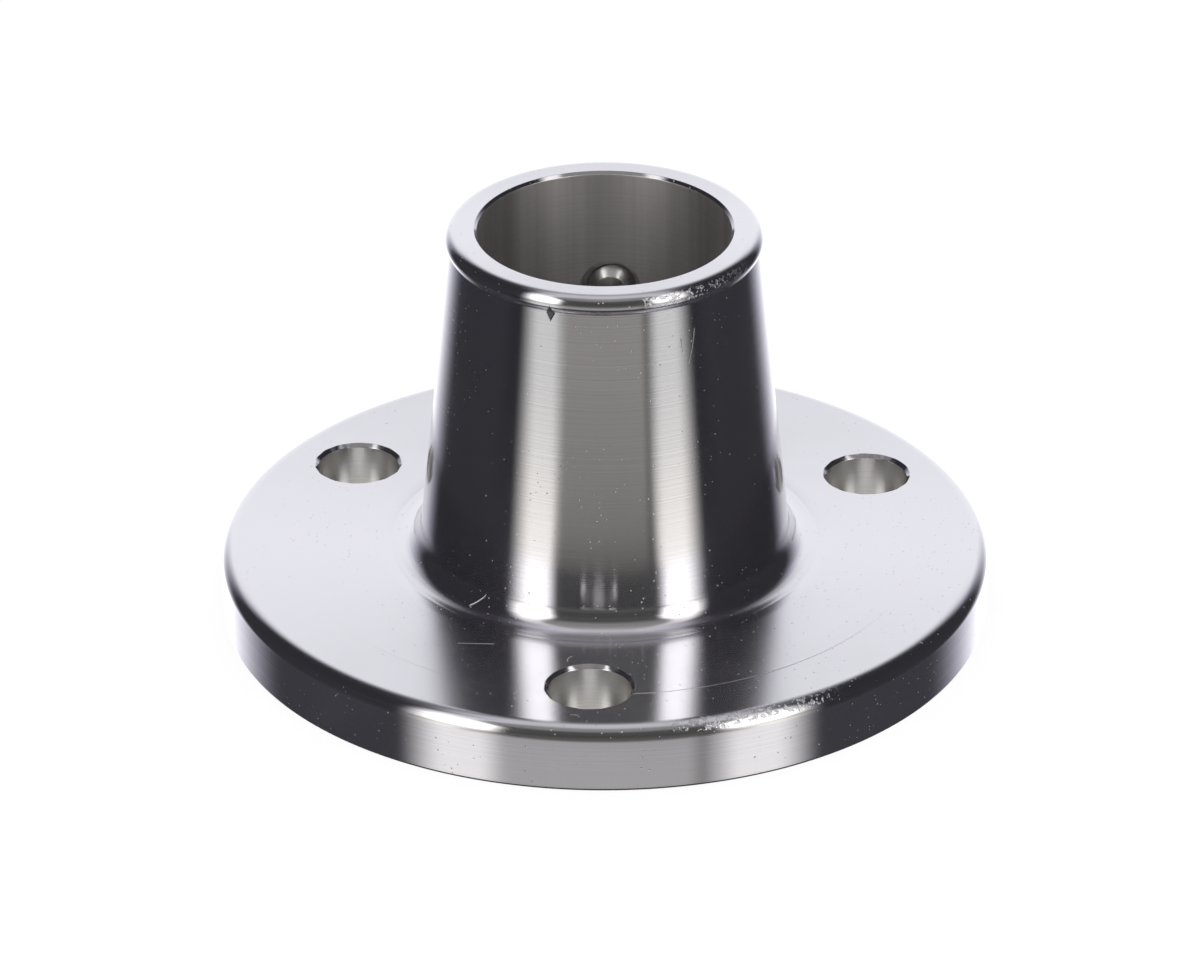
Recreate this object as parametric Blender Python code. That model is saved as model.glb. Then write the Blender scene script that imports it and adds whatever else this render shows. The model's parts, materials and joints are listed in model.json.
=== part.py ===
"""Deck stanchion base: a turned stainless steel flange with a tapered tube socket, and the set screw that locks the tube.

The frame is in metres. The origin is on the socket's axis at the underside of the flange, +Z runs up the socket,
one bolt hole lies towards -Y, and the set screw comes in from +Y along a radius.
"""

import math

import bmesh
import bpy

MM = 0.001

# Flange
FLANGE_RADIUS = 39.0 * MM
FLANGE_THICKNESS = 7.0 * MM
FLANGE_TOP_ROUND = 1.5 * MM
EDGE_BREAK = 0.3 * MM

# Tapered socket on the flange
HEIGHT = 42.4 * MM
CONE_FOOT_RADIUS = 18.95 * MM  # where the straight taper would meet the flange's top face
NECK_RADIUS = 15.6 * MM
NECK_Z = 40.0 * MM
FOOT_FILLET = 2.6 * MM
RIM_RADIUS = 15.9 * MM
RIM_ROUND = 1.15 * MM

# Bore for a 25.4 mm tube, with a stop at its foot and a drain through the stop
BORE_RADIUS = 12.75 * MM
BORE_CHAMFER = 0.3 * MM
TUBE_STOP_Z = 5.0 * MM
DRAIN_RADIUS = 5.0 * MM

# Bolt holes for 8 mm bolts
BOLT_COUNT = 3
BOLT_CIRCLE_RADIUS = 30.5 * MM
BOLT_HOLE_RADIUS = 4.15 * MM
BOLT_HOLE_CHAMFER = 0.35 * MM

# Set screw, 1/4 inch by 1/4 inch with a cup point. Its thread and the tapped hole are plain at the pitch diameter.
SCREW_Z = HEIGHT - 13.3 * MM
THREAD_PITCH_RADIUS = 2.76 * MM
THREAD_GAP = 0.1 * MM
SCREW_LENGTH = 6.35 * MM
TIP_PROUD = 0.25 * MM
POINT_TAPER = 1.15 * MM
CUP_RADIUS = 1.5 * MM
CUP_DEPTH = 0.9 * MM
SOCKET_FLATS = 3.175 * MM
SOCKET_DEPTH = 2.6 * MM
SOCKET_CONE = 0.7 * MM

ROUND_STEPS = 96
HOLE_STEPS = 40
SHARP_ANGLE = math.radians(28)
OVERRUN = 2.0 * MM


def arc(centre_r, centre_z, radius, start, end, steps):
    """Points (r, z) along an arc, from the start angle to the end angle in degrees, both ends included."""
    points = []
    for i in range(steps + 1):
        angle = math.radians(start + (end - start) * i / steps)
        points.append((centre_r + radius * math.cos(angle), centre_z + radius * math.sin(angle)))
    return points


def socket_outline():
    """The closed half section of the base, clockwise from the mouth of the bore: down the outside, up the inside."""
    taper = math.atan2(CONE_FOOT_RADIUS - NECK_RADIUS, NECK_Z - FLANGE_THICKNESS)
    rim_r = RIM_RADIUS - RIM_ROUND
    rim_z = HEIGHT - RIM_ROUND
    # The rim's round runs on past its widest point until it cuts the taper.
    taper_r = CONE_FOOT_RADIUS - (rim_z - FLANGE_THICKNESS) * math.tan(taper)
    rim_end = taper - math.acos((taper_r - rim_r) * math.cos(taper) / RIM_ROUND)
    # The fillet is tangent to the taper and to the flange's top face.
    fillet_reach = FOOT_FILLET / math.tan((math.pi / 2 + taper) / 2)
    outline = [(BORE_RADIUS + BORE_CHAMFER, HEIGHT)]
    outline += arc(rim_r, rim_z, RIM_ROUND, 90, math.degrees(rim_end), 7)
    outline += arc(
        CONE_FOOT_RADIUS + fillet_reach,
        FLANGE_THICKNESS + FOOT_FILLET,
        FOOT_FILLET,
        180 + math.degrees(taper),
        270,
        6,
    )
    outline += arc(
        FLANGE_RADIUS - FLANGE_TOP_ROUND, FLANGE_THICKNESS - FLANGE_TOP_ROUND, FLANGE_TOP_ROUND, 90, 0, 6
    )
    outline.append((FLANGE_RADIUS, EDGE_BREAK))
    outline.append((FLANGE_RADIUS - EDGE_BREAK, 0))
    outline.append((DRAIN_RADIUS + EDGE_BREAK, 0))
    outline.append((DRAIN_RADIUS, EDGE_BREAK))
    outline.append((DRAIN_RADIUS, TUBE_STOP_Z))
    outline.append((BORE_RADIUS, TUBE_STOP_Z))
    outline.append((BORE_RADIUS, HEIGHT - BORE_CHAMFER))
    return outline


def bolt_hole_outline():
    """A bolt hole's cutter, from above the flange down through it, widening at each face into a chamfer."""
    mouth = BOLT_HOLE_RADIUS + BOLT_HOLE_CHAMFER + OVERRUN
    foot = BOLT_HOLE_RADIUS + EDGE_BREAK + OVERRUN
    return [
        (0, FLANGE_THICKNESS + OVERRUN),
        (mouth, FLANGE_THICKNESS + OVERRUN),
        (BOLT_HOLE_RADIUS, FLANGE_THICKNESS - BOLT_HOLE_CHAMFER),
        (BOLT_HOLE_RADIUS, EDGE_BREAK),
        (foot, -OVERRUN),
        (0, -OVERRUN),
    ]


def screw_outline():
    """The set screw's half section, from the bottom of the cup, round the point and down to the outer end."""
    body = THREAD_PITCH_RADIUS - THREAD_GAP
    return [
        (0, -CUP_DEPTH),
        (CUP_RADIUS, 0),
        (body, -POINT_TAPER),
        (body, EDGE_BREAK - SCREW_LENGTH),
        (body - EDGE_BREAK, -SCREW_LENGTH),
        (0, -SCREW_LENGTH),
    ]


def hex_socket_outline():
    """The hexagon key's socket, cut in from the outer end, with the drill's cone at its bottom."""
    corner = SOCKET_FLATS / math.sqrt(3)
    bottom = SOCKET_DEPTH - SCREW_LENGTH
    return [(0, bottom + SOCKET_CONE), (corner, bottom), (corner, -SCREW_LENGTH - OVERRUN), (0, -SCREW_LENGTH - OVERRUN)]


def plain_outline(radius, top, bottom):
    return [(0, top), (radius, top), (radius, bottom), (0, bottom)]


def turned(name, outline, steps, closed=False):
    """An object turned from a half section around its own Z axis."""
    shape = bmesh.new()
    corners = [shape.verts.new((r, 0, z)) for r, z in outline]
    edges = [shape.edges.new(pair) for pair in zip(corners, corners[1:])]
    if closed:
        edges.append(shape.edges.new((corners[-1], corners[0])))
    bmesh.ops.spin(
        shape,
        geom=corners + edges,
        cent=(0, 0, 0),
        axis=(0, 0, 1),
        angle=2 * math.pi,
        steps=steps,
        use_merge=True,
    )
    bmesh.ops.remove_doubles(shape, verts=shape.verts, dist=1e-7)
    bmesh.ops.recalc_face_normals(shape, faces=shape.faces)
    mesh = bpy.data.meshes.new(name)
    shape.to_mesh(mesh)
    shape.free()
    thing = bpy.data.objects.new(name, mesh)
    bpy.context.scene.collection.objects.link(thing)
    return thing


def cut(thing, cutter):
    cutter.hide_render = True
    cutter.display_type = "WIRE"
    boolean = thing.modifiers.new(cutter.name, "BOOLEAN")
    boolean.operation = "DIFFERENCE"
    boolean.solver = "EXACT"
    boolean.object = cutter


def finish(thing):
    """Makes the cuts part of the mesh, then shades it smooth with its true edges kept sharp."""
    bpy.context.view_layer.update()
    graph = bpy.context.evaluated_depsgraph_get()
    mesh = bpy.data.meshes.new_from_object(thing.evaluated_get(graph))
    thing.modifiers.clear()
    thing.data = mesh
    mesh.name = thing.name
    mesh.shade_smooth()
    mesh.set_sharp_from_angle(angle=SHARP_ANGLE)


def steel(name, colour, roughness):
    material = bpy.data.materials.new(name)
    material.use_nodes = True
    shader = material.node_tree.nodes["Principled BSDF"]
    shader.inputs["Base Color"].default_value = (*colour, 1)
    shader.inputs["Roughness"].default_value = roughness
    shader.inputs["Metallic"].default_value = 1.0
    material.diffuse_color = (*colour, 1)
    return material


def make_base(frame):
    base = turned("base_body", socket_outline(), ROUND_STEPS, closed=True)
    for i in range(BOLT_COUNT):
        angle = -math.pi / 2 + 2 * math.pi * i / BOLT_COUNT
        hole = turned(f"bolt_hole_cutter_{i + 1}", bolt_hole_outline(), HOLE_STEPS)
        hole.location = (BOLT_CIRCLE_RADIUS * math.cos(angle), BOLT_CIRCLE_RADIUS * math.sin(angle), 0)
        cut(base, hole)
    tapped_hole = turned(
        "tapped_hole_cutter",
        plain_outline(THREAD_PITCH_RADIUS + THREAD_GAP, BORE_RADIUS / 2, -BORE_RADIUS),
        HOLE_STEPS,
    )
    tapped_hole.location = (0, BORE_RADIUS, SCREW_Z)
    tapped_hole.rotation_euler = (math.pi / 2, 0, 0)
    cut(base, tapped_hole)
    finish(base)
    base.data.materials.append(steel("bright_turned_steel", (0.62, 0.61, 0.63), 0.16))
    base.parent = frame


def make_set_screw(frame):
    """The screw's own Z axis is its thread axis, pointing into the bore, with its origin at the cup's rim."""
    screw = turned("set_screw", screw_outline(), HOLE_STEPS)
    socket = turned("hex_socket_cutter", hex_socket_outline(), 6)
    cut(screw, socket)
    finish(screw)
    screw.data.materials.append(steel("set_screw_steel", (0.5, 0.49, 0.48), 0.3))
    screw.location = (0, BORE_RADIUS - TIP_PROUD, SCREW_Z)
    screw.rotation_euler = (math.pi / 2, 0, 0)
    screw.parent = frame


def main():
    for thing in list(bpy.data.objects):
        bpy.data.objects.remove(thing)
    frame = bpy.data.objects.new("stanchion_base", None)
    bpy.context.scene.collection.objects.link(frame)
    make_base(frame)
    make_set_screw(frame)


main()
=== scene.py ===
"""Finish, light and view for a turned stainless steel stanchion base and its set screw.

Lengths are in metres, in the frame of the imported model: the origin is on the socket's axis at the underside
of the flange, +Z runs up the socket, one bolt hole lies towards -Y and the set screw comes in from +Y.
"""
import json
import math

import bpy
import numpy as np
from mathutils import Matrix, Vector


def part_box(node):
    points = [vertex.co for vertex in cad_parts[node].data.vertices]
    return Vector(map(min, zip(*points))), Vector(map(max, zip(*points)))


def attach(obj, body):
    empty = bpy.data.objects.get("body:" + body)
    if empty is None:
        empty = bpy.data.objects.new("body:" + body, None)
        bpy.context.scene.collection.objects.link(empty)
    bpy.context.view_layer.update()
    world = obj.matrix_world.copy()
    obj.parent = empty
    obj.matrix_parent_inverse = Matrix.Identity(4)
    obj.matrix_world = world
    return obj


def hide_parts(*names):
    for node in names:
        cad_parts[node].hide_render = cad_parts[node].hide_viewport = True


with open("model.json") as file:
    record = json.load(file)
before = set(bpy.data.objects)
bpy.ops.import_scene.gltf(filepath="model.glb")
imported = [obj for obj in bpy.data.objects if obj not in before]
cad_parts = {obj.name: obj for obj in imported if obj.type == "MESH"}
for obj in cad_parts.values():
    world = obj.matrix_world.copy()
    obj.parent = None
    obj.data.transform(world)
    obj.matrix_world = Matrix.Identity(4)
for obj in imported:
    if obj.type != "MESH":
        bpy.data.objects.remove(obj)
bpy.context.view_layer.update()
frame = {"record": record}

MM = 0.001


def opening_centre(name):
    """The middle of a stated opening's box."""
    box = next(entry["box_m"] for entry in frame["record"]["physics"]["openings"] if entry["name"] == name)
    return np.mean(box, axis=0)


def mount_height(name):
    """The height of a stated mount."""
    return next(entry["pos_m"][2] for entry in frame["record"]["mounts"] if entry["name"] == name)


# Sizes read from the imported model
BASE_LOW, BASE_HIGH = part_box("base_body")
SCREW_LOW, SCREW_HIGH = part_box("set_screw")
FLANGE_RADIUS = (BASE_HIGH[0] - BASE_LOW[0]) / 2
HEIGHT = BASE_HIGH[2]
FLANGE_TOP = mount_height("bolt_head_seat")
STOP_TOP = mount_height("tube_stop")
BOLT_CIRCLE_RADIUS = -opening_centre("bolt_hole_front")[1]
SCREW_Z = (SCREW_LOW[2] + SCREW_HIGH[2]) / 2
SCREW_TIP = SCREW_LOW[1]
SCREW_END = SCREW_HIGH[1]

# Sizes of the turned base
FLANGE_SHOULDER_ROUND = 1.5 * MM
EDGE_BREAK = 0.3 * MM
CONE_FOOT_RADIUS = 18.95 * MM  # where the straight taper would meet the flange's top face
NECK_RADIUS = 15.6 * MM
NECK_Z = 40.0 * MM
TAPER_SLOPE = (CONE_FOOT_RADIUS - NECK_RADIUS) / (NECK_Z - FLANGE_TOP)
FOOT_FILLET = 2.6 * MM
RIM_RADIUS = 15.9 * MM
RIM_ROUND = 1.15 * MM
RIM_UNDERCUT = math.radians(43.5)  # how far the rim's round runs on below its widest place
BORE_RADIUS = 12.75 * MM
BORE_CHAMFER = 0.3 * MM
DRAIN_RADIUS = 5.0 * MM
STEP_RADIUS = 21.75 * MM  # a fine V-shaped step that the tool left in the flange's top face
STEP_HALF_WIDTH = 0.12 * MM
STEP_DEPTH = 0.02 * MM

# Bolt holes: their middles' directions from the axis, in degrees
BOLT_DIRECTIONS = (-90, 30, 150)
BOLT_HOLE_RADIUS = 4.15 * MM
BOLT_HOLE_CHAMFER = 0.35 * MM
CHATTER_LOBES = 15
CHATTER_DEPTH = 0.035 * MM

# Set screw thread, 1/4 inch with 20 turns to the inch, tapped through the socket's wall towards +Y
PITCH = 1.27 * MM
THREAD_HEIGHT = 1.1 * MM  # of the full sharp V
TAPPED_MINOR = 2.53 * MM
TAPPED_PITCH = 2.80 * MM
TAPPED_MAJOR = 3.20 * MM
TAPPED_MOUTH = 3.45 * MM
SCREW_MINOR = 2.35 * MM
SCREW_PITCH = 2.71 * MM
SCREW_MAJOR = 3.12 * MM
CUP_RADIUS = 1.5 * MM
CUP_DEPTH = 0.9 * MM
KEY_FLATS = 3.175 * MM
KEY_DEPTH = 2.6 * MM
KEY_CONE = 0.7 * MM
KEY_MOUTH = 0.15 * MM
END_RADIUS = 2.5 * MM
CUP_LIP = 0.08 * MM

# Mesh density
COLUMNS = 240
WINDOW_COLUMNS = 8  # each side of a bolt hole's middle
WINDOW_ROWS = 16
WINDOW_IN = 6.0 * MM  # from the bolt circle inwards, and outwards
WINDOW_OUT = 5.8 * MM
TAP_WINDOW_COLUMNS = 12
TAP_WINDOW_ROWS = 24
TAP_WINDOW_REACH = 5.0 * MM  # above and below the screw's axis
GUARD = 0.02 * MM  # a narrow row beside each round, which keeps the flat next to it shaded flat


def unit(vector):
    return vector / np.linalg.norm(vector)


def cone_radius(z):
    """The straight taper's radius at a height."""
    return CONE_FOOT_RADIUS - (z - FLANGE_TOP) * TAPER_SLOPE


def rounded_outline(corners, closed=True):
    """(points, first row of each corner) of an outline through corners, each rounded by an arc.

    A corner is (across, up, round, arc steps, run steps). With h half the angle between its two sides, the
    arc's centre lies round / sin(h) along their bisector, and it touches each side round / tan(h) from the
    corner. The straight run to the next corner is cut evenly, with a guard row beside each end that meets an
    arc when there is room for one.
    """
    spots = np.array([corner[:2] for corner in corners], float)
    arcs = []
    for index, (_, _, radius, steps, _) in enumerate(corners):
        here = spots[index]
        if radius == 0:
            arcs.append(here[None])
            continue
        back = unit(spots[index - 1] - here)
        ahead = unit(spots[(index + 1) % len(corners)] - here)
        half = math.acos(float(np.clip(back @ ahead, -1, 1))) / 2
        centre = here + unit(back + ahead) * radius / math.sin(half)
        first = unit(here + back * radius / math.tan(half) - centre)
        last = unit(here + ahead * radius / math.tan(half) - centre)
        sweep = math.pi - 2 * half
        share = np.linspace(0, 1, steps + 1)[:, None]
        swept = (first * np.sin((1 - share) * sweep) + last * np.sin(share * sweep)) / math.sin(sweep)
        arcs.append(centre + radius * swept)
    points = []
    starts = []
    for index, corner in enumerate(corners):
        starts.append(sum(len(block) for block in points))
        points.append(arcs[index])
        if index + 1 == len(corners) and not closed:
            break
        after = (index + 1) % len(corners)
        start, end = arcs[index][-1], arcs[after][0]
        guard = GUARD / np.linalg.norm(end - start)
        cuts = list(np.linspace(0, 1, corner[4] + 1)[1:-1])
        if corner[2] and guard < 0.3:
            cuts.append(guard)
        if corners[after][2] and guard < 0.3:
            cuts.append(1 - guard)
        share = np.sort(cuts)[:, None]
        points.append(start + (end - start) * share)
    return np.concatenate(points), starts


def skin(rows, columns, closed_rows=False):
    """Quads over a grid whose columns close on themselves, listed by row and then column."""
    row = np.arange(rows if closed_rows else rows - 1)[:, None]
    column = np.arange(columns)[None]
    after_row = (row + 1) % rows
    after_column = (column + 1) % columns
    corners = [row * columns + column, row * columns + after_column]
    corners += [after_row * columns + after_column, after_row * columns + column]
    return np.stack(np.broadcast_arrays(*corners), axis=-1)


def window_rim(first_row, last_row, first_column, last_column):
    """(rows, columns) round the rim of a rectangular window in a grid, anticlockwise from its first corner.

    The rows may run down instead of up, for a window seen from its far side.
    """
    step = 1 if last_row > first_row else -1
    up = np.arange(first_row, last_row, step)
    along = np.arange(first_column, last_column)
    rows = [np.full(len(along), first_row), up, np.full(len(along), last_row), up[::-1] + step]
    columns = [along, np.full(len(up), last_column), along[::-1] + 1, np.full(len(up), first_column)]
    return np.concatenate(rows), np.concatenate(columns)


def angles_round_hole(columns, rows):
    """The directions of a hole's points, twice as many as round its window's rim, from the same corner.

    The window reaches `columns` to each side of the hole's middle and is `rows` high.
    """
    count = 2 * (4 * columns + 2 * rows)
    return 2 * math.pi * np.arange(count) / count - 0.75 * math.pi


def rings_to_hole(rim, edge, place):
    """Rings from a window's rim to a hole's edge: (1 - t) rim + t edge, in the surface's own coordinates.

    The rim is given twice as many points, the new ones halfway along its steps, to match the edge.
    """
    doubled = np.empty((2 * len(rim), 2))
    doubled[0::2] = rim
    doubled[1::2] = (rim + np.roll(rim, -1, axis=0)) / 2
    share = np.array([0.15, 0.31, 0.47, 0.62, 0.76, 0.88, 0.96, 1.0])[:, None, None]
    return place((1 - share) * doubled + share * edge)


def hole_points(entry_rim, entry_rings, wall, exit_rings, exit_rim):
    """Points and faces of a hole from one window to another.

    The rows between the rims share one count of columns, twice the rims', so each rim's step meets two of
    theirs in three triangles.
    """
    rows = np.concatenate([entry_rings, wall, exit_rings[::-1]])
    columns = rows.shape[1]
    points = np.concatenate([entry_rim, rows.reshape(-1, 3), exit_rim])
    quads = skin(len(rows), columns).reshape(-1, 4) + len(entry_rim)
    here = np.arange(len(entry_rim))
    after = (here + 1) % len(entry_rim)
    fine = len(entry_rim) + 2 * here
    middle = fine + 1
    fine_after = len(entry_rim) + 2 * after
    first = [(here, after, middle, middle), (here, middle, fine, fine), (after, fine_after, middle, middle)]
    far = len(entry_rim) + (len(rows) - 1) * columns
    out = len(entry_rim) + rows.shape[0] * columns
    fine, middle, fine_after = far + 2 * here, far + 2 * here + 1, far + 2 * after
    last = [
        (fine, middle, out + here, out + here),
        (middle, out + after, out + here, out + here),
        (middle, fine_after, out + after, out + after),
    ]
    entry_faces = np.concatenate([np.stack(face, axis=-1) for face in first])
    exit_faces = np.concatenate([np.stack(face, axis=-1) for face in last])
    ring_faces = (len(entry_rings) - 1) * columns
    return points, entry_faces, quads, exit_faces, ring_faces


def thread_wave(along, angle, minor, pitch_radius, major):
    """A thread's radius: a 60 degree V wave along the axis, one pitch a turn, cut flat at crest and root.

    The wave rises and falls evenly between 0 and 1 over one pitch of (along / pitch - angle / full turn).
    """
    turns = along / PITCH - angle / (2 * math.pi)
    wave = np.abs(2 * (turns - np.floor(turns)) - 1)
    return np.clip(pitch_radius + (wave - 0.5) * THREAD_HEIGHT, minor, major)


def make_solid(name, points, faces, finishes, finish_of_face):
    """A closed mesh object from quads, some with repeated corners, after points at one place are made one."""
    places, index = np.unique(points, axis=0, return_inverse=True)
    faces = index.reshape(-1)[faces]
    kept = faces != np.roll(faces, 1, axis=1)
    sound = kept.sum(axis=1) > 2
    faces, kept, finish_of_face = faces[sound], kept[sound], finish_of_face[sound]
    counts = kept.sum(axis=1)
    mesh = bpy.data.meshes.new(name)
    mesh.vertices.add(len(places))
    mesh.vertices.foreach_set("co", places.ravel())
    mesh.loops.add(int(counts.sum()))
    mesh.loops.foreach_set("vertex_index", faces[kept].astype(np.int32))
    mesh.polygons.add(len(faces))
    mesh.polygons.foreach_set("loop_start", np.concatenate([[0], np.cumsum(counts)[:-1]]).astype(np.int32))
    for finish in finishes:
        mesh.materials.append(finish)
    mesh.polygons.foreach_set("material_index", finish_of_face.astype(np.int32))
    mesh.update(calc_edges=True)
    mesh.validate()
    mesh.shade_smooth()
    piece = bpy.data.objects.new(name, mesh)
    bpy.context.scene.collection.objects.link(piece)
    return piece


# ---- The turned base ----

TURNED, BORED, DRILLED, TAPPED = range(4)


def base_outline():
    """The base's closed half section, anticlockwise from the drain's lower edge, and the rows of its windows.

    A corner is (name, radius, height, round, arc steps, run steps). The names mark where windows and finishes
    begin and end. The rim's round runs on below its widest place by the undercut's angle, and its tangent
    there leads in to the taper, at the neck.
    """
    window_in = BOLT_CIRCLE_RADIUS - WINDOW_IN
    window_out = BOLT_CIRCLE_RADIUS + WINDOW_OUT
    tap_low = SCREW_Z - TAP_WINDOW_REACH
    tap_high = SCREW_Z + TAP_WINDOW_REACH
    edge = 0.1 * MM
    turn_in = np.array([math.sin(RIM_UNDERCUT), math.cos(RIM_UNDERCUT)])
    round_end = np.array([RIM_RADIUS - RIM_ROUND, HEIGHT - RIM_ROUND])
    round_end = round_end + RIM_ROUND * np.array([turn_in[1], -turn_in[0]])
    rim_corner = round_end + turn_in * (HEIGHT - round_end[1]) / turn_in[1]
    gap = round_end[0] - cone_radius(round_end[1])
    neck = round_end - turn_in * gap / (turn_in[0] + turn_in[1] * TAPER_SLOPE)
    corners = [
        ("drain_foot", DRAIN_RADIUS, 0, edge, 3, 3),
        ("under_in", window_in, 0, 0, 0, WINDOW_ROWS),
        ("under_out", window_out, 0, 0, 0, 2),
        ("heel", FLANGE_RADIUS, 0, EDGE_BREAK, 5, 3),
        ("shoulder", FLANGE_RADIUS, FLANGE_TOP, FLANGE_SHOULDER_ROUND, 14, 1),
        ("top_out", window_out, FLANGE_TOP, 0, 0, WINDOW_ROWS),
        ("top_in", window_in, FLANGE_TOP, 0, 0, 2),
        ("step_out", STEP_RADIUS + STEP_HALF_WIDTH, FLANGE_TOP, 0, 0, 1),
        ("step_deep", STEP_RADIUS, FLANGE_TOP - STEP_DEPTH, 0, 0, 1),
        ("step_in", STEP_RADIUS - STEP_HALF_WIDTH, FLANGE_TOP, 0, 0, 1),
        ("foot", CONE_FOOT_RADIUS, FLANGE_TOP, FOOT_FILLET, 18, 7),
        ("tap_low", cone_radius(tap_low), tap_low, 0, 0, TAP_WINDOW_ROWS),
        ("tap_high", cone_radius(tap_high), tap_high, 0, 0, 4),
        ("neck", *neck, 0.04 * MM, 3, 1),
        ("rim", *rim_corner, RIM_ROUND, 30, 3),
        ("mouth", BORE_RADIUS + BORE_CHAMFER, HEIGHT, 0.05 * MM, 3, 1),
        ("bore_top", BORE_RADIUS, HEIGHT - BORE_CHAMFER, edge, 3, 4),
        ("bore_high", BORE_RADIUS, tap_high, 0, 0, TAP_WINDOW_ROWS),
        ("bore_low", BORE_RADIUS, tap_low, 0, 0, 6),
        ("stop", BORE_RADIUS, STOP_TOP, EDGE_BREAK, 5, 4),
        ("drain_mouth", DRAIN_RADIUS, STOP_TOP, edge, 3, 3),
    ]
    points, starts = rounded_outline([corner[1:] for corner in corners])
    return points, {corner[0]: start for corner, start in zip(corners, starts)}


def bolt_hole(grid, rows, direction):
    """One bolt hole through the flange, as points and faces, with the columns that its windows span.

    The bevel's radius carries the drill's chatter: a cosine wave round the hole, deepest at the top.
    """
    middle_column = round(direction / 360 * COLUMNS) % COLUMNS
    columns = (middle_column - WINDOW_COLUMNS, middle_column + WINDOW_COLUMNS)
    heading = math.radians(direction)
    outward = np.array([math.cos(heading), math.sin(heading)])
    along = np.array([-outward[1], outward[0]])
    angle = angles_round_hole(WINDOW_COLUMNS, WINDOW_ROWS)
    spokes = np.cos(angle)[:, None] * along - np.sin(angle)[:, None] * outward
    middle = outward * BOLT_CIRCLE_RADIUS
    chamfered = BOLT_HOLE_RADIUS + BOLT_HOLE_CHAMFER
    broken = BOLT_HOLE_RADIUS + EDGE_BREAK
    margin = 0.12 * MM
    profile, _ = rounded_outline([
        (chamfered + margin, FLANGE_TOP, 0, 0, 1),
        (chamfered, FLANGE_TOP, 0.04 * MM, 2, 3),
        (BOLT_HOLE_RADIUS, FLANGE_TOP - BOLT_HOLE_CHAMFER, 0.05 * MM, 2, 6),
        (BOLT_HOLE_RADIUS, EDGE_BREAK, 0.05 * MM, 2, 1),
        (broken, 0, 0.04 * MM, 2, 1),
        (broken + margin, 0, 0, 0, 1),
    ], closed=False)
    upper = np.clip((profile[:, 1] - FLANGE_TOP) / BOLT_HOLE_CHAMFER + 1, 0, 1)
    lobes = np.cos(CHATTER_LOBES * angle) * (0.7 + 0.3 * np.cos(2 * angle + heading))
    radius = profile[:, :1] + CHATTER_DEPTH * upper[:, None] * lobes
    wall = np.empty((len(profile), len(angle), 3))
    wall[..., :2] = middle + radius[..., None] * spokes
    wall[..., 2] = profile[:, 1:]

    def rings(first_row, last_row, line):
        rim_rows, rim_columns = window_rim(first_row, last_row, *columns)
        rim = grid[rim_rows, rim_columns % COLUMNS]
        height = rim[0, 2]

        def place(flat):
            return np.concatenate([flat, np.full(flat.shape[:-1] + (1,), height)], axis=-1)

        return rim, rings_to_hole(rim[:, :2], line[:, :2], place)

    entry_rim, entry = rings(rows["top_out"], rows["top_in"], wall[0])
    exit_rim, leaving = rings(rows["under_out"], rows["under_in"], wall[-1])
    return hole_points(entry_rim, entry, wall[1:-1], leaving, exit_rim), columns


def tapped_hole(grid, rows):
    """The tapped hole through the socket's wall towards +Y, with its thread cut in the wall.

    At angle a and radius r about the hole's axis a point stands r cos(a) towards -X and r sin(a) up. The
    radius is the largest of the thread's and of the 45 degree cones at the mouth and at the bore.
    """
    middle_column = COLUMNS // 4
    columns = (middle_column - TAP_WINDOW_COLUMNS, middle_column + TAP_WINDOW_COLUMNS)
    angle = angles_round_hole(TAP_WINDOW_COLUMNS, TAP_WINDOW_ROWS)

    def on_wall(radius, wall_radius):
        across = radius * np.cos(angle)
        up = SCREW_Z + radius * np.sin(angle)
        turn = math.pi / 2 + np.arcsin(across / wall_radius(up))
        return np.stack([turn, up], axis=-1), np.sqrt(wall_radius(up) ** 2 - across ** 2)

    def bore_radius(z):
        return np.full_like(z, BORE_RADIUS)

    def rings(first_row, last_row, edge, wall_radius):
        rim_rows, rim_columns = window_rim(first_row, last_row, *columns)
        rim = grid[rim_rows, rim_columns]
        rim_flat = np.stack([2 * math.pi * rim_columns / COLUMNS, rim[:, 2]], axis=-1)

        def place(flat):
            radius = wall_radius(flat[..., 1])
            turn = flat[..., 0]
            return np.stack([radius * np.cos(turn), radius * np.sin(turn), flat[..., 1]], axis=-1)

        return rim, rings_to_hole(rim_flat, edge, place)

    mouth_edge, mouth_y = on_wall(TAPPED_MOUTH, cone_radius)
    bore_edge, bore_y = on_wall(TAPPED_MAJOR, bore_radius)
    entry_rim, entry = rings(rows["tap_low"], rows["tap_high"], mouth_edge, cone_radius)
    exit_rim, leaving = rings(rows["bore_low"], rows["bore_high"], bore_edge, bore_radius)
    share = np.linspace(0, 1, 98)[1:-1, None]
    along = mouth_y + (bore_y - mouth_y) * share
    from_mouth = mouth_y - along
    from_bore = along - bore_y
    thread = thread_wave(along, angle, TAPPED_MINOR, TAPPED_PITCH, TAPPED_MAJOR)
    radius = np.maximum(thread, TAPPED_MOUTH - from_mouth)
    radius = np.maximum(radius, TAPPED_MAJOR - from_bore)
    wall = np.stack([-radius * np.cos(angle), along, SCREW_Z + radius * np.sin(angle)], axis=-1)
    return hole_points(entry_rim, entry, wall, leaving, exit_rim), columns


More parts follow.
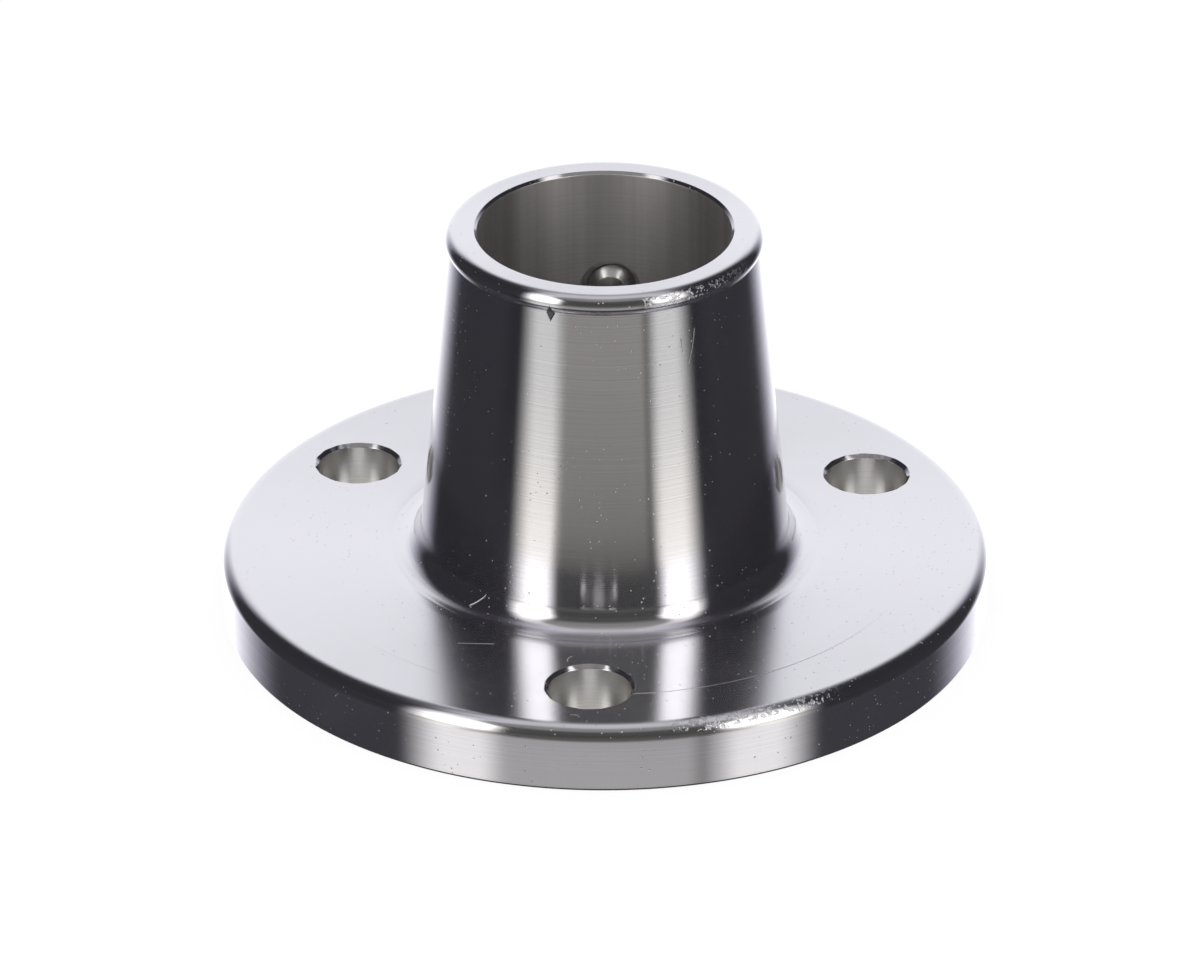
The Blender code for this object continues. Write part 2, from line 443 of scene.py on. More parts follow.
def make_base(finishes):
    """The base in one closed skin: the outline turned about Z, with windows let into it for four holes."""
    outline, rows = base_outline()
    turn = 2 * math.pi * np.arange(COLUMNS) / COLUMNS
    radius, height = outline[:, :1], outline[:, 1:]
    grid = np.stack(np.broadcast_arrays(radius * np.cos(turn), radius * np.sin(turn), height), axis=-1)
    quads = skin(len(outline), COLUMNS, closed_rows=True)
    open_quads = np.zeros(quads.shape[:2], bool)
    finish = np.full(quads.shape[:2], TURNED)
    finish[rows["bore_top"]:] = BORED
    points = [grid.reshape(-1, 3)]
    faces = []
    finish_of_face = []

    def let_in(hole, columns, windows, entry_finish, wall_finish, exit_finish):
        places, entry_faces, hole_quads, exit_faces, ring_faces = hole
        for first_row, last_row in windows:
            span = slice(min(first_row, last_row), max(first_row, last_row))
            open_quads[span, np.arange(*columns) % COLUMNS] = True
        offset = sum(len(block) for block in points)
        points.append(places)
        faces.extend([entry_faces + offset, hole_quads + offset, exit_faces + offset])
        # A bolt hole's upper bevel is finished like the turned faces round it
        height = places[hole_quads].mean(axis=1)[:, 2]
        bevel = (wall_finish == DRILLED) & (height > FLANGE_TOP - BOLT_HOLE_CHAMFER)
        wall_of_quads = np.where(bevel, TURNED, wall_finish)
        wall_of_quads[:ring_faces] = entry_finish
        wall_of_quads[-ring_faces:] = exit_finish
        finish_of_face.extend([
            np.full(len(entry_faces), entry_finish), wall_of_quads, np.full(len(exit_faces), exit_finish)
        ])

    for direction in BOLT_DIRECTIONS:
        hole, columns = bolt_hole(grid, rows, direction)
        windows = [(rows["top_out"], rows["top_in"]), (rows["under_in"], rows["under_out"])]
        let_in(hole, columns, windows, TURNED, DRILLED, TURNED)
    hole, columns = tapped_hole(grid, rows)
    windows = [(rows["tap_low"], rows["tap_high"]), (rows["bore_high"], rows["bore_low"])]
    let_in(hole, columns, windows, TURNED, TAPPED, BORED)
    faces.insert(0, quads[~open_quads])
    finish_of_face.insert(0, finish[~open_quads])
    points, faces, finish_of_face = map(np.concatenate, (points, faces, finish_of_face))
    return make_solid("base_body_turned", points, faces, finishes, finish_of_face)


# ---- The set screw ----


def make_set_screw(finishes):
    """The set screw in one closed skin of rows round its axis, from its cup's bottom to its key socket's.

    Each row holds a radius for every angle and a place along +Y. The threaded rows take the least of the
    thread wave, the 45 degree point and the 45 degree end. The key socket's rows are hexagons: half the
    flats' distance over the cosine of the angle from the nearest flat's middle.
    """
    count = 192
    angle = 2 * math.pi * np.arange(count) / count
    even = np.ones(count)
    sixth = math.pi / 3
    hexagon = KEY_FLATS / 2 / np.cos((angle + sixth / 2) % sixth - sixth / 2)
    cup, _ = rounded_outline([
        (0, SCREW_TIP + CUP_DEPTH, 0, 0, 6),
        (CUP_RADIUS, SCREW_TIP, CUP_LIP, 4, 1),
        (CUP_RADIUS + 2 * CUP_LIP, SCREW_TIP + 2 * CUP_LIP, 0, 0, 1),
    ], closed=False)
    rows = [(radius * even, place) for radius, place in cup]
    start = SCREW_TIP + 2 * CUP_LIP
    for place in np.linspace(start, SCREW_END, 122)[1:-1]:
        thread = thread_wave(place, angle, SCREW_MINOR, SCREW_PITCH, SCREW_MAJOR)
        point = CUP_RADIUS + place - SCREW_TIP
        rows.append((np.minimum(thread, min(point, END_RADIUS + SCREW_END - place)), place))
    key_mouth = 1.05 * hexagon
    key_top = SCREW_END - KEY_MOUTH
    key_bottom = SCREW_END - KEY_DEPTH
    end_edge = END_RADIUS * even
    rows.append((end_edge, SCREW_END))
    rows.append((end_edge - GUARD, SCREW_END))
    rows += [((1 - share) * end_edge + share * key_mouth, SCREW_END) for share in (0.35, 0.7, 0.96, 1.0)]
    rows += [(hexagon, key_top + (key_bottom - key_top) * share) for share in (0, 0.02, 0.5, 0.98, 1.0)]
    rows += [(hexagon * share, key_bottom - KEY_CONE * (1 - share)) for share in (0.98, 0.75, 0.5, 0.25, 0.0)]
    radius = np.array([row[0] for row in rows])
    along = np.array([row[1] for row in rows])[:, None]
    across = -radius * np.cos(angle)
    up = SCREW_Z + radius * np.sin(angle)
    points = np.stack(np.broadcast_arrays(across, along, up), axis=-1).reshape(-1, 3)
    faces = skin(len(rows), count).reshape(-1, 4)
    return make_solid("set_screw_threaded", points, faces, finishes, np.zeros(len(faces), int))


# ---- Finishes ----


class Maker:
    """Adds nodes to a material or world and joins them, so that a finish reads as a list of steps."""

    def __init__(self, tree):
        self.tree = tree
        tree.nodes.clear()

    def add(self, kind, inputs=None, **settings):
        node = self.tree.nodes.new(kind)
        for name, value in settings.items():
            setattr(node, name, value)
        for name, value in (inputs or {}).items():
            self.put(node.inputs[name], value)
        return node

    def put(self, socket, value):
        if isinstance(value, bpy.types.NodeSocket):
            self.tree.links.new(value, socket)
        else:
            socket.default_value = value

    def math(self, operation, *values, clamp=False):
        node = self.add("ShaderNodeMath", operation=operation, use_clamp=clamp)
        for socket, value in zip(node.inputs, values):
            self.put(socket, value)
        return node.outputs[0]

    def vector(self, operation, *values):
        node = self.add("ShaderNodeVectorMath", operation=operation)
        for socket, value in zip([socket for socket in node.inputs if socket.type == "VECTOR"], values):
            self.put(socket, value)
        return node.outputs["Value" if operation in ("LENGTH", "DOT_PRODUCT", "DISTANCE") else "Vector"]

    def smooth(self, value, low, high, to_low=0.0, to_high=1.0):
        """to_low at low and to_high at high, with an even S between them."""
        node = self.add("ShaderNodeMapRange", interpolation_type="SMOOTHSTEP")
        for name, amount in (("Value", value), ("From Min", low), ("From Max", high)):
            self.put(node.inputs[name], amount)
        self.put(node.inputs["To Min"], to_low)
        self.put(node.inputs["To Max"], to_high)
        return node.outputs[0]

    def mix(self, share, first, second):
        node = self.add("ShaderNodeMix", data_type="FLOAT")
        for socket, value in zip((node.inputs[0], node.inputs[2], node.inputs[3]), (share, first, second)):
            self.put(socket, value)
        return node.outputs[0]

    def mix_colour(self, share, first, second):
        node = self.add("ShaderNodeMix", data_type="RGBA")
        for socket, value in zip((node.inputs[0], node.inputs[6], node.inputs[7]), (share, first, second)):
            self.put(socket, value)
        return node.outputs[2]

    def split(self, vector):
        return self.add("ShaderNodeSeparateXYZ", {"Vector": vector}).outputs

    def join(self, x, y, z):
        return self.add("ShaderNodeCombineXYZ", {"X": x, "Y": y, "Z": z}).outputs[0]

    def lines(self, place, scale, detail=2.0):
        """Noise along one line: place in metres, scale in waves a metre."""
        settings = {"W": place, "Scale": scale, "Detail": detail}
        return self.add("ShaderNodeTexNoise", settings, noise_dimensions="1D").outputs[0]

    def cloud(self, place, scale, detail=2.0):
        node = self.add("ShaderNodeTexNoise", {"Vector": place, "Scale": scale, "Detail": detail})
        return node.outputs[0]


STEEL = (0.62, 0.615, 0.64)
FINE_LINES = 5200.0  # tool lines, in waves a metre
COARSE_LINES = 900.0
PIT_SPACING = 0.62 * MM
PIT_SIZE = 0.15  # as a share of the spacing
FLAW_DEPTH = 0.02 * MM
NICK_DEPTH = 0.12 * MM


def new_material(name):
    material = bpy.data.materials.new(name)
    material.use_nodes = True
    return material, Maker(material.node_tree)


def pits(make, place, cell, size, share):
    """1 inside small round pits: the middles of random cells about `cell` metres apart, for a share of them.

    The pits gather in patches, because the share rises and falls with slow noise, and differ in size.
    """
    cells = make.add("ShaderNodeTexVoronoi", {"Vector": place, "Scale": 1 / cell, "Randomness": 1.0})
    patch = make.smooth(make.cloud(place, 90.0, 1.0), 0.38, 0.66, 0.12 * share, 1.8 * share)
    chosen = make.math("LESS_THAN", make.split(cells.outputs["Color"])[0], patch)
    uneven = make.math("MULTIPLY", make.split(cells.outputs["Color"])[1], 0.75 * size)
    reach = make.math("ADD", 0.35 * size, uneven)
    near = make.smooth(cells.outputs["Distance"], make.math("MULTIPLY", reach, 0.4), reach, 1.0, 0.0)
    return make.math("MULTIPLY", near, chosen)


def scratch(make, place, start, end, bow, width):
    """1 along a thin line from start to end in the place's first two coordinates, bowed sideways by `bow`.

    The line's sideways swing is 4 t (1 - t) times the bow, with t the share of the way along it.
    """
    start, end = np.array(start) * MM, np.array(end) * MM
    length = float(np.linalg.norm(end - start))
    ahead = (end - start) / length
    here = make.vector("SUBTRACT", place, (*map(float, start), 0.0))
    along = make.math("DIVIDE", make.vector("DOT_PRODUCT", here, (*map(float, ahead), 0.0)), length)
    aside = make.vector("DOT_PRODUCT", here, (float(-ahead[1]), float(ahead[0]), 0.0))
    swing = make.math("MULTIPLY", along, make.math("SUBTRACT", 1.0, along))
    swing = make.math("MULTIPLY", swing, 4 * bow * MM)
    offset = make.math("ABSOLUTE", make.math("SUBTRACT", aside, swing))
    line = make.smooth(offset, 0.3 * width, width, 1.0, 0.0)
    inside = make.math("MULTIPLY", make.smooth(along, 0.0, 0.1), make.smooth(along, 0.9, 1.0, 1.0, 0.0))
    return make.math("MULTIPLY", line, inside)


# Scuffed edges, as (radius and height of the middle of the scuff, reach, first and last bearing in degrees)
SCUFFS = (
    (FLANGE_RADIUS - 0.6 * MM, FLANGE_TOP - 0.3 * MM, 0.9 * MM, -76.0, -50.0),
    (RIM_RADIUS - 0.2 * MM, HEIGHT - 0.75 * MM, 0.7 * MM, -72.0, -22.0),
)
# Scratches on the flange's top face, as (start, end, bow) in millimetres in X and Y
FLAT_SCRATCHES = (
    ((-13.8, -22.4), (-9.8, -22.4), 0.0),
    ((4.4, -31.7), (6.6, -31.5), 0.05),
    ((-2.4, -25.7), (-2.0, -24.5), 0.25),
    ((-1.7, -36.2), (-0.7, -36.6), 0.2),
)
# Scratches on the taper, as (start, end, bow) in millimetres round the axis and up
TAPER_SCRATCHES = (
    ((-17.5, 37.2), (-17.3, 35.5), 0.05),
    ((-15.75, 37.9), (-16.75, 34.2), 0.15),
    ((-39.1, 7.0), (-37.4, 8.6), -0.15),
    ((-38.9, 6.6), (-38.1, 7.3), 0.1),
)
TAPER_GAUGE = 17.0 * MM  # the radius at which distances round the taper are measured
FOOT_RINGS = (20.0 * MM, 20.6 * MM, 22.0 * MM, 23.4 * MM)  # radii where the tool's rings begin and end
FOOT_RING_DEPTH = 0.006 * MM
SCRIBED_RADIUS = 32.1 * MM  # a faint circle scribed through the front of the bolt holes
NICK = (-31.75, 40.3)  # a small diamond-shaped nick under the rim, in the same two coordinates
NICK_HALF_WIDTH = 0.5
NICK_HALF_HEIGHT = 0.9


def base_marks(make, place):
    """(scratches, nick) of the base, each 1 inside its marks."""
    x, y, z = make.split(place)
    radius = make.vector("LENGTH", make.join(x, y, 0.0))
    on_taper = make.math("LESS_THAN", radius, 20.0 * MM)
    outside = make.math("GREATER_THAN", radius, BORE_RADIUS + 1.5 * MM)
    level = make.math("GREATER_THAN", z, FLANGE_TOP - 0.5 * MM)
    flat = make.math("MULTIPLY", level, make.math("SUBTRACT", 1.0, on_taper))
    taper = make.math("MULTIPLY", outside, on_taper)
    scribed = make.math("ABSOLUTE", make.math("SUBTRACT", radius, SCRIBED_RADIUS))
    patchy = make.smooth(make.cloud(place, 45.0, 1.0), 0.42, 0.6, 0.1, 0.5)
    patchy = make.math("MULTIPLY", patchy, make.smooth(y, -26.0 * MM, -10.0 * MM, 1.0, 0.1))
    circle = make.math("MULTIPLY", make.smooth(scribed, 0.02 * MM, 0.07 * MM, 1.0, 0.0), patchy)
    round_and_up = make.join(make.math("MULTIPLY", make.math("ARCTAN2", y, x), TAPER_GAUGE), z, 0.0)
    found = make.math("MULTIPLY", circle, flat)
    for lines, where, zone in ((FLAT_SCRATCHES, place, flat), (TAPER_SCRATCHES, round_and_up, taper)):
        for start, end, bow in lines:
            line = scratch(make, where, start, end, bow, 0.07 * MM)
            found = make.math("MAXIMUM", found, make.math("MULTIPLY", line, zone))
    bearing = make.math("MULTIPLY", make.math("ARCTAN2", y, x), 180.0 / math.pi)
    ragged = make.smooth(make.cloud(place, 2400.0, 3.0), 0.52, 0.6)
    profile = make.join(radius, z, 0.0)
    for middle_radius, middle_z, reach, first, last in SCUFFS:
        away = make.vector("DISTANCE", profile, (float(middle_radius), float(middle_z), 0.0))
        near = make.smooth(away, 0.4 * reach, reach, 0.9, 0.0)
        span = make.math("MULTIPLY", make.smooth(bearing, first - 4.0, first + 4.0),
                         make.smooth(bearing, last - 12.0, last + 4.0, 1.0, 0.0))
        scuff = make.math("MULTIPLY", make.math("MULTIPLY", near, span), ragged)
        found = make.math("MAXIMUM", found, scuff)
    across, up, _ = make.split(make.vector("SUBTRACT", round_and_up, (NICK[0] * MM, NICK[1] * MM, 0.0)))
    reach = make.math("ADD", make.math("DIVIDE", make.math("ABSOLUTE", across), NICK_HALF_WIDTH * MM),
                      make.math("DIVIDE", make.math("ABSOLUTE", up), NICK_HALF_HEIGHT * MM))
    return found, make.math("MULTIPLY", make.smooth(reach, 0.8, 1.05, 1.0, 0.0), taper)


def streaks_and_side_shade(make, place):
    """Streaks up the bore and painted shade dimming it towards +X and -X, as a share of full brightness."""
    x, y, _ = make.split(place)
    round_it = make.math("MULTIPLY", make.math("ARCTAN2", y, x), BORE_RADIUS)
    broad = make.lines(round_it, 260.0, 1.0)
    narrow = make.lines(round_it, 1500.0, 1.0)
    aside = make.math("DIVIDE", make.math("ABSOLUTE", x), BORE_RADIUS)
    # Painted shade: the bore's colour falls towards +X and -X, where its walls face sideways.
    share = make.smooth(aside, 0.2, 1.0, 0.87, 0.5)
    share = make.math("ADD", share, make.math("MULTIPLY", make.math("SUBTRACT", broad, 0.5), 0.4))
    return make.math("ADD", share, make.math("MULTIPLY", make.math("SUBTRACT", narrow, 0.5), 0.1))


def painted_wall_shade(make, place):
    """Painted shade on the walls that face +X and -X, as a share of full brightness."""
    across = make.split(make.add("ShaderNodeNewGeometry").outputs["Normal"])[0]
    return make.smooth(make.math("ABSOLUTE", across), 0.2, 0.95, 1.0, 0.58)


def foot_rings(make, place, across):
    """The height of the rings that the tool left where the fillet meets the flange."""
    x, y, _ = make.split(place)
    radius = make.vector("LENGTH", make.join(x, y, 0.0))
    begin = make.smooth(radius, FOOT_RINGS[0], FOOT_RINGS[1])
    end = make.smooth(radius, FOOT_RINGS[2], FOOT_RINGS[3], 1.0, 0.0)
    rings = make.math("MULTIPLY", make.lines(across, 2100.0), FOOT_RING_DEPTH)
    return make.math("MULTIPLY", rings, make.math("MULTIPLY", begin, end))


def steel(
    name, groove, line_place, roughness, anisotropy, line_depth, tint=STEEL, pit_share=0.1,
    flat_roughness=None, marked=False, dimmed=None,
):
    """Machined steel: reflections drawn out across its tool lines, the lines themselves, pits and rough
    smudges.

    groove(make, place) gives the direction that the tool lines run in, and line_place(make, place) the
    distance across them. Faces that lie flat are cut smoother than the sides. A marked steel has the base's
    own scratches and a dent whose colour is darkened as painted shade, and dimmed(make, place) is a share
    of the colour that paints shade on some walls.
    """
    flat_roughness = flat_roughness or roughness
    material, make = new_material(name)
    place = make.add("ShaderNodeTexCoord").outputs["Object"]
    normal = make.add("ShaderNodeNewGeometry").outputs["Normal"]
    tangent = make.vector("NORMALIZE", make.vector("CROSS_PRODUCT", normal, groove(make, place)))
    across = line_place(make, place)
    fine = make.lines(across, FINE_LINES)
    coarse = make.lines(across, COARSE_LINES)
    smear = make.cloud(place, 140.0, 3.0)
    flaw = pits(make, place, PIT_SPACING, PIT_SIZE, pit_share)
    nick_and_shade = 0.0
    flat = make.smooth(make.math("ABSOLUTE", make.split(normal)[2]), 0.8, 0.99)
    height = make.math("ADD", fine, make.math("MULTIPLY", coarse, 1.4))
    height = make.math("MULTIPLY", make.math("MULTIPLY", height, line_depth), make.mix(flat, 1.0, 0.08))
    if marked:
        lines, nick_and_shade = base_marks(make, place)
        flaw = make.math("MAXIMUM", make.math("MULTIPLY", flaw, make.mix(flat, 1.0, 0.6)), lines)
        height = make.math("ADD", height, foot_rings(make, place, across))
    height = make.math("SUBTRACT", height, make.math("MULTIPLY", flaw, FLAW_DEPTH))
    height = make.math("SUBTRACT", height, make.math("MULTIPLY", nick_and_shade, NICK_DEPTH))
    bump = make.add("ShaderNodeBump", {"Height": height, "Strength": 1.0, "Distance": 1.0})
    rough = make.math("SUBTRACT", make.mix(flat, roughness, flat_roughness), 0.04)
    rough = make.math("ADD", rough, make.math("MULTIPLY", smear, 0.05))
    rough = make.math("ADD", rough, make.math("MULTIPLY", fine, 0.03))
    rough = make.mix(make.math("MAXIMUM", flaw, nick_and_shade), rough, 0.5)
    shade = make.math("ADD", 0.9, make.math("MULTIPLY", make.mix(flat, fine, 0.5), 0.2))
    # Inside the dent the colour is darkened: painted shade.
    shade = make.math("MULTIPLY", shade, make.math("SUBTRACT", 1.0, make.math("MULTIPLY", nick_and_shade, 0.85)))
    if dimmed:
        shade = make.math("MULTIPLY", shade, dimmed(make, place))
    colour = make.vector("MULTIPLY", make.join(shade, shade, shade), tint)
    shader = make.add(
        "ShaderNodeBsdfPrincipled",
        {
            "Base Color": colour,
            "Metallic": 1.0,
            "Roughness": rough,
            "Anisotropic": anisotropy,
            "Tangent": tangent,
            "Normal": bump.outputs[0],
        },
    )
    output = make.add("ShaderNodeOutputMaterial")
    make.put(output.inputs["Surface"], shader.outputs[0])
    return material


def round_the_axis(make, place):
    """The direction round Z."""
    x, y, _ = make.split(place)
    return make.vector("NORMALIZE", make.join(make.math("MULTIPLY", y, -1.0), x, 0.0))


def down_the_profile(make, place):
    """Height less radius, which runs on without a break from a flat face over a round and down a side."""
    x, y, z = make.split(place)
    radius = make.vector("LENGTH", make.join(x, y, 0.0))
    return make.math("SUBTRACT", z, radius)


def level_round(make, place):
    """The level direction along an upright wall."""
    normal = make.add("ShaderNodeNewGeometry").outputs["Normal"]
    return make.vector("NORMALIZE", make.vector("CROSS_PRODUCT", (0.0, 0.0, 1.0), normal))


def height_only(make, place):
    """The height, which is the distance across lines that run level round a wall."""
    return make.split(place)[2]


def round_the_screw(make, place):
    """The direction round the set screw's axis, which runs along Y."""
    x, _, z = make.split(place)
    up = make.math("SUBTRACT", z, float(SCREW_Z))
    return make.vector("NORMALIZE", make.join(up, 0.0, make.math("MULTIPLY", x, -1.0)))


def along_the_screw(make, place):
    """The place along the screw's axis less the radius about it, which runs on over its cones and ends."""
    x, y, z = make.split(place)
    up = make.math("SUBTRACT", z, float(SCREW_Z))
    return make.math("SUBTRACT", y, make.vector("LENGTH", make.join(x, 0.0, up)))


# ---- Studio ----


# The camera stands in front and above, a little towards +X
CAMERA_TURN = math.radians(2.9)
CAMERA_TILT = math.radians(28.156)
CAMERA_ROLL = math.radians(-0.145)
CAMERA_DISTANCE = 785.4 * MM
CAMERA_LENS = 231.7
CAMERA_SENSOR = 36.0
AIM_ASIDE = -0.486 * MM
AIM_HEIGHT = 13.789 * MM


def curve(make, value, low, high, pairs):
    """Straight lines between (place, level) pairs from low to high, as a ramp scaled by its highest level."""
    highest = max(level for _, level in pairs)
    share = make.math("DIVIDE", make.math("SUBTRACT", value, low), high - low)
    ramp = make.add("ShaderNodeValToRGB", {"Fac": share})
    stops = ramp.color_ramp.elements
    while len(stops) < len(pairs):
        stops.new(0.5)
    for stop, (place, _) in zip(stops, pairs):
        stop.position = (place - low) / (high - low)
    for stop, (_, level) in zip(stops, pairs):
        stop.color = (level / highest, level / highest, level / highest, 1.0)
    return make.math("MULTIPLY", make.split(ramp.outputs["Color"])[0], highest)


def from_the_camera(make, x, y):
    """The bearing of (x, y) from the camera's side, in degrees, positive to the camera's right."""
    bearing = make.math("SUBTRACT", make.math("ARCTAN2", x, make.math("MULTIPLY", y, -1.0)), CAMERA_TURN)
    return make.math("MULTIPLY", make.math("WRAP", bearing, math.pi, -math.pi), 180.0 / math.pi)


def make_studio():
    """The studio as the steel mirrors it: a dim room in front, two tall softboxes left and right of the
    camera that lean outwards, dark flags beyond them, a pale sweep behind and a softbox overhead.

    Each part's level, and each edge's bearing from the camera in degrees, is given at elevations in degrees.
    The parts meet in S curves of bearing. Only what the steel mirrors sees them: all else is lit evenly.
    """
    world = bpy.data.worlds.new("studio")
    bpy.context.scene.world = world
    world.use_nodes = True
    make = Maker(world.node_tree)
    x, y, z = make.split(make.add("ShaderNodeTexCoord").outputs["Generated"])
    turned = from_the_camera(make, x, y)
    side = make.math("ABSOLUTE", turned)
    rise = make.math("MULTIPLY", make.math("ARCSINE", z), 180.0 / math.pi)

    def by_height(*pairs):
        return curve(make, rise, -90.0, 90.0, pairs)

    room = by_height(
        (-44, 0.06), (-35, 0.55), (-30, 0.58), (-22, 0.54), (-17, 0.47), (-13, 0.29), (-9, 0.165), (9, 0.09),
        (25, 0.085), (34, 0.11), (47, 0.1), (57, 0.34), (68, 0.34), (76, 0.43), (84, 0.74),
    )
    softbox = by_height(
        (-44, 0.06), (-35, 1.1), (-30, 1.28), (-22, 1.5), (-16, 1.5), (-11, 1.2), (0, 2.2), (9, 3.2),
        (40, 3.2), (48, 2.0), (58, 1.3), (66, 0.85), (84, 0.8),
    )
    flags = by_height(
        (-44, 0.05), (-31, 0.068), (-28, 0.055), (-25, 0.042), (50, 0.042), (60, 0.05), (65, 0.15),
        (69, 0.55), (75, 0.8), (84, 0.8),
    )
    sweep = by_height(
        (-44, 0.06), (-35, 1.2), (-31, 1.9), (-26, 1.35), (5, 1.27), (29, 1.29), (34, 1.12), (38, 0.95),
        (43, 0.68), (50, 0.42), (57, 0.4), (63, 0.6), (70, 0.85), (84, 0.8),
    )
    softbox_in = by_height(
        (-30, 36), (-18, 31), (-14, 34), (9, 34), (28, 35), (38, 36), (47, 41), (57, 54), (66, 60),
    )
    softbox_out = by_height((-30, 57), (-17, 54), (9, 52), (28, 55), (38, 59), (47, 63), (55, 72), (66, 85))
    sweep_in = by_height(
        (-30, 138), (-24, 147), (9, 144), (28, 144), (38, 150), (47, 160), (60, 160), (68, 130),
    )
    # The right softbox stands a little farther round than the left one, and a dark stand lies low beside it
    softbox_out = make.math("ADD", softbox_out, make.smooth(turned, 0.0, 40.0, 0.0, 3.0))
    softbox_in = make.math("ADD", softbox_in, make.smooth(turned, -20.0, 20.0, -1.5, 1.0))
    low = make.smooth(rise, -12.0, -6.0, 1.0, 0.0)
    stand = make.math("MULTIPLY", make.smooth(turned, 24.0, 29.5), make.smooth(turned, 29.5, 33.0, 1.0, 0.0))
    shaded = make.math("SUBTRACT", 1.0, make.math("MULTIPLY", make.math("MULTIPLY", stand, low), 0.4))
    inner = make.smooth(side, make.math("SUBTRACT", softbox_in, 5.0), make.math("ADD", softbox_in, 5.0))
    outer = make.smooth(side, make.math("SUBTRACT", softbox_out, 8.0), make.math("ADD", softbox_out, 9.0))
    spread = make.smooth(rise, -26.0, -12.0, 24.0, 15.0)
    behind = make.smooth(side, make.math("SUBTRACT", sweep_in, spread), make.math("ADD", sweep_in, spread))
    level = make.mix(inner, make.math("MULTIPLY", room, shaded), softbox)
    level = make.mix(outer, level, flags)
    level = make.mix(behind, level, sweep)

    warm = make.math("MULTIPLY", make.smooth(rise, -28.0, -20.0), make.smooth(rise, -14.0, 20.0, 1.0, 0.0))
    front = make.mix_colour(warm, (1.0, 0.985, 0.97, 1.0), (1.0, 0.965, 0.9, 1.0))
    beyond = make.smooth(side, make.math("ADD", softbox_out, 2.0), make.math("ADD", softbox_out, 12.0))
    colour = make.mix_colour(beyond, front, (0.93, 0.9, 1.06, 1.0))
    colour = make.mix_colour(behind, colour, (0.985, 0.985, 1.025, 1.0))
    mirrored = make.add("ShaderNodeBackground", {"Strength": level, "Color": colour})
    plain = make.add("ShaderNodeBackground", {"Strength": 1.0, "Color": (1.0, 1.0, 1.0, 1.0)})
    glossy = make.add("ShaderNodeLightPath").outputs["Is Glossy Ray"]
    both = make.add("ShaderNodeMixShader", {0: glossy, 1: plain.outputs[0], 2: mirrored.outputs[0]})
    output = make.add("ShaderNodeOutputWorld")
    make.put(output.inputs["Surface"], both.outputs[0])
    world.cycles.sampling_method = "NONE"


def make_floor():
    """A plain pale floor. The steel sees the studio through it, dimmer and cooler the farther out it looks.

    The dimming and cooler tint are painted shade that only the steel's reflections see. Straight before the
    object a painted shadow lies on the floor as far as half the object's width from its edge.
    """
    half = 1.5
    mesh = bpy.data.meshes.new("floor")
    corners = [(-half, -half, 0.0), (half, -half, 0.0), (half, half, 0.0), (-half, half, 0.0)]
    mesh.from_pydata(corners, [], [(0, 1, 2, 3)])
    floor = bpy.data.objects.new("floor", mesh)
    bpy.context.scene.collection.objects.link(floor)
    material, make = new_material("pale_floor")
    lit = make.add("ShaderNodeEmission", {"Color": (1.0, 1.0, 1.0, 1.0), "Strength": 1.05})
    matt = make.add("ShaderNodeBsdfDiffuse", {"Color": (0.9, 0.9, 0.9, 1.0)})
    surface = make.add("ShaderNodeMixShader", {0: 0.15, 1: lit.outputs[0], 2: matt.outputs[0]})

    x, y, _ = make.split(make.add("ShaderNodeTexCoord").outputs["Object"])
    out = make.math("DIVIDE", make.vector("LENGTH", make.join(x, y, 0.0)), float(FLANGE_RADIUS))
    side = make.math("ABSOLUTE", from_the_camera(make, x, y))
    # Painted shade seen through the floor by the steel's reflections: a shadow straight before the object,
    # and a dimmer, cooler floor farther out to either side.
    ahead = curve(make, out, 0.0, 4.0, [
        (1.22, 1.0), (1.42, 0.38), (1.6, 0.42), (1.77, 0.56), (1.92, 0.7), (2.7, 0.81), (3.7, 1.0),
    ])
    aside = curve(make, out, 0.0, 4.0, [(1.5, 1.0), (1.9, 0.93), (2.7, 0.7), (3.7, 0.62)])
    share = make.mix(make.smooth(side, 25.0, 31.0), ahead, aside)
    share = make.mix(make.smooth(side, 58.0, 75.0), share, 1.0)
    far = make.math("MULTIPLY", make.smooth(out, 1.9, 3.4), make.smooth(side, 25.0, 31.0))
    tint = make.mix_colour(far, (1.0, 1.0, 1.0, 1.0), (0.93, 0.965, 1.0, 1.0))
    dimmed = make.vector("MULTIPLY", tint, make.join(share, share, share))
    clear = make.add("ShaderNodeBsdfTransparent", {"Color": dimmed})
    glossy = make.add("ShaderNodeLightPath").outputs["Is Glossy Ray"]
    under = make.add("ShaderNodeNewGeometry").outputs["Backfacing"]
    seen = make.add("ShaderNodeMixShader", {0: glossy, 1: surface.outputs[0], 2: clear.outputs[0]})
    none = make.add("ShaderNodeBsdfTransparent")
    both = make.add("ShaderNodeMixShader", {0: under, 1: seen.outputs[0], 2: none.outputs[0]})
    output = make.add("ShaderNodeOutputMaterial")
    make.put(output.inputs["Surface"], both.outputs[0])
    mesh.materials.append(material)


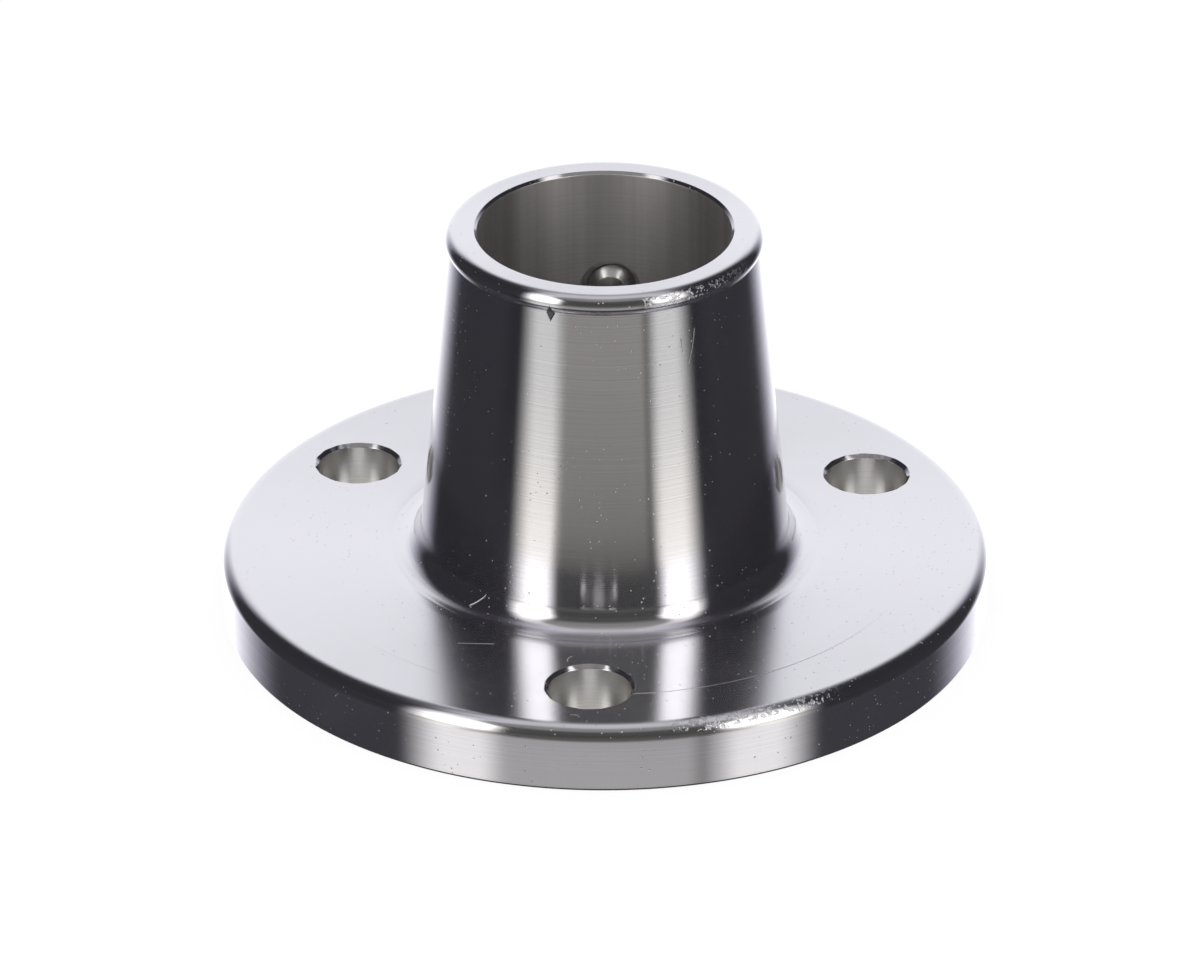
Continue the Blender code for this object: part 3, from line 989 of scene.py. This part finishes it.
def make_camera():
    """The camera, its axes worked out from its turn, tilt and roll."""
    turn, tilt, roll = CAMERA_TURN, CAMERA_TILT, CAMERA_ROLL
    right = np.array([math.cos(turn), math.sin(turn), 0.0])
    back = np.array([math.sin(turn) * math.cos(tilt), -math.cos(turn) * math.cos(tilt), math.sin(tilt)])
    up = np.cross(back, right)
    aim = AIM_ASIDE * right + np.array([0.0, 0.0, AIM_HEIGHT])
    camera = bpy.data.objects.new("camera", bpy.data.cameras.new("camera"))
    bpy.context.scene.collection.objects.link(camera)
    camera.data.sensor_width = CAMERA_SENSOR
    camera.data.lens = CAMERA_LENS
    camera.data.clip_start = 0.05
    camera.data.clip_end = 20.0
    rolled_right = right * math.cos(roll) + up * math.sin(roll)
    rolled_up = up * math.cos(roll) - right * math.sin(roll)
    matrix = np.eye(4)
    matrix[:3] = np.stack([rolled_right, rolled_up, back, aim + back * CAMERA_DISTANCE], axis=1)
    camera.matrix_world = Matrix(matrix.tolist())
    bpy.context.scene.camera = camera


def base_finishes():
    """The base's four finishes, in the order TURNED, BORED, DRILLED, TAPPED."""
    turned = steel(
        "turned_steel", round_the_axis, down_the_profile, roughness=0.12, anisotropy=0.88,
        line_depth=0.0025 * MM, pit_share=0.6, flat_roughness=0.19, marked=True,
    )
    # Painted shade dims the bore's colour towards +X and -X.
    bored = steel(
        "bored_steel", round_the_axis, height_only, roughness=0.5, anisotropy=0.3,
        line_depth=0.001 * MM, tint=(0.95, 0.92, 0.915), dimmed=streaks_and_side_shade,
    )
    # Painted shade dims the colour of the drilled walls that face +X and -X.
    drilled = steel(
        "drilled_steel", level_round, height_only, roughness=0.34, anisotropy=0.5,
        line_depth=0.003 * MM, tint=(0.9, 0.885, 0.865), dimmed=painted_wall_shade,
    )
    tapped = steel(
        "tapped_steel", round_the_screw, along_the_screw, roughness=0.36, anisotropy=0.3,
        line_depth=0.001 * MM, tint=(0.85, 0.84, 0.84),
    )
    return [turned, bored, drilled, tapped]


def screw_finish():
    """The set screw's plain steel."""
    return steel(
        "screw_steel", round_the_screw, along_the_screw, roughness=0.33, anisotropy=0.3,
        line_depth=0.001 * MM, tint=(0.85, 0.84, 0.83), pit_share=0.2,
    )


def main():
    base = make_base(base_finishes())
    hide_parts("base_body")
    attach(base, "base")
    screw = make_set_screw([screw_finish()])
    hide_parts("set_screw")
    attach(screw, "screw")
    make_floor()
    make_studio()
    make_camera()
    bpy.context.scene.view_settings.view_transform = "Standard"


main()
